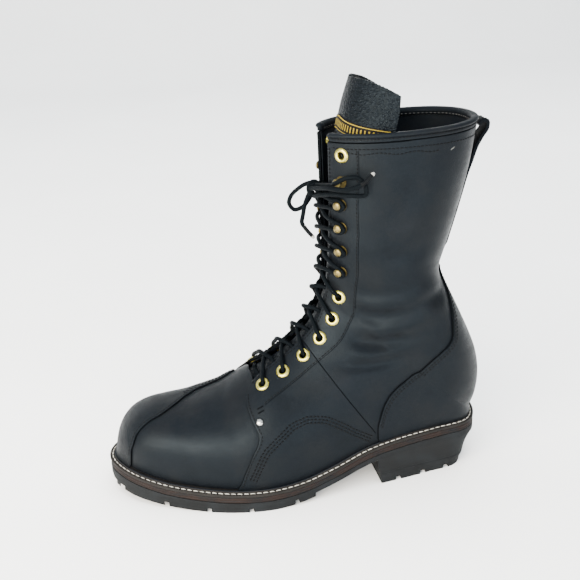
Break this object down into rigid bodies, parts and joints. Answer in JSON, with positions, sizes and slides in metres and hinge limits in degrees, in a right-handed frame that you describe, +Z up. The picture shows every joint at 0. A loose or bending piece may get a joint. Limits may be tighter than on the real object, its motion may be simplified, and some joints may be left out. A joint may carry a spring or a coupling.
{
  "type": "lineman boot",
  "caption": "Tall black leather lineman work boot for the left foot, laced with eyelets and hooks, on a welted lugged sole with a high heel.",
  "frame": {"origin": "on the floor under the centre of the boot's box", "axes": "+Z up from the floor, -X towards the toe, -Y towards the outer side of the left foot"},
  "size_m": [0.3252, 0.1178, 0.3332],
  "materials": {
    "leather": "oiled black leather with a soft sheen",
    "grained_leather": "pebbled black leather",
    "welt_leather": "black edge-dyed leather, stitched white",
    "midsole": "dark red-brown raw edge",
    "rubber": "matt black rubber",
    "insole": "plain tan leather",
    "brass": "bright rolled brass",
    "aged_brass": "duller antique brass",
    "nickel": "bright rivet head",
    "lace": "black braided round cord"
  },
  "bodies": {
    "root": {"outsole": "rubber", "heel": "rubber", "welt": "welt_leather", "midsole": "midsole", "insole": "insole", "upper": "leather", "counter": "leather", "backstay": "leather", "toe_patch": "leather", "collar_binding": "leather", "pull_loop": "leather", "tongue": "grained_leather", "eyelet_outer_1": "brass", "eyelet_outer_2": "brass", "eyelet_outer_3": "brass", "eyelet_outer_4": "brass", "eyelet_outer_5": "brass", "eyelet_outer_6": "brass", "eyelet_outer_7": "brass", "eyelet_inner_1": "brass", "eyelet_inner_2": "brass", "eyelet_inner_3": "brass", "eyelet_inner_4": "brass", "eyelet_inner_5": "brass", "eyelet_inner_6": "brass", "eyelet_inner_7": "brass", "hook_outer_1": "aged_brass", "hook_outer_2": "aged_brass", "hook_outer_3": "aged_brass", "hook_outer_4": "aged_brass", "hook_outer_5": "aged_brass", "hook_inner_1": "aged_brass", "hook_inner_2": "aged_brass", "hook_inner_3": "aged_brass", "hook_inner_4": "aged_brass", "hook_inner_5": "aged_brass", "rivet_outer": "nickel", "rivet_inner": "nickel", "lace_crossing_1": "lace", "lace_crossing_2": "lace", "lace_crossing_3": "lace", "lace_crossing_4": "lace", "lace_crossing_5": "lace", "lace_crossing_6": "lace", "lace_crossing_7": "lace", "lace_crossing_8": "lace", "lace_crossing_9": "lace", "lace_knot": "lace", "lace_loop_outer": "lace", "lace_loop_inner": "lace", "lace_end_outer": "lace", "lace_end_inner": "lace"}
  },
  "joints": []
}
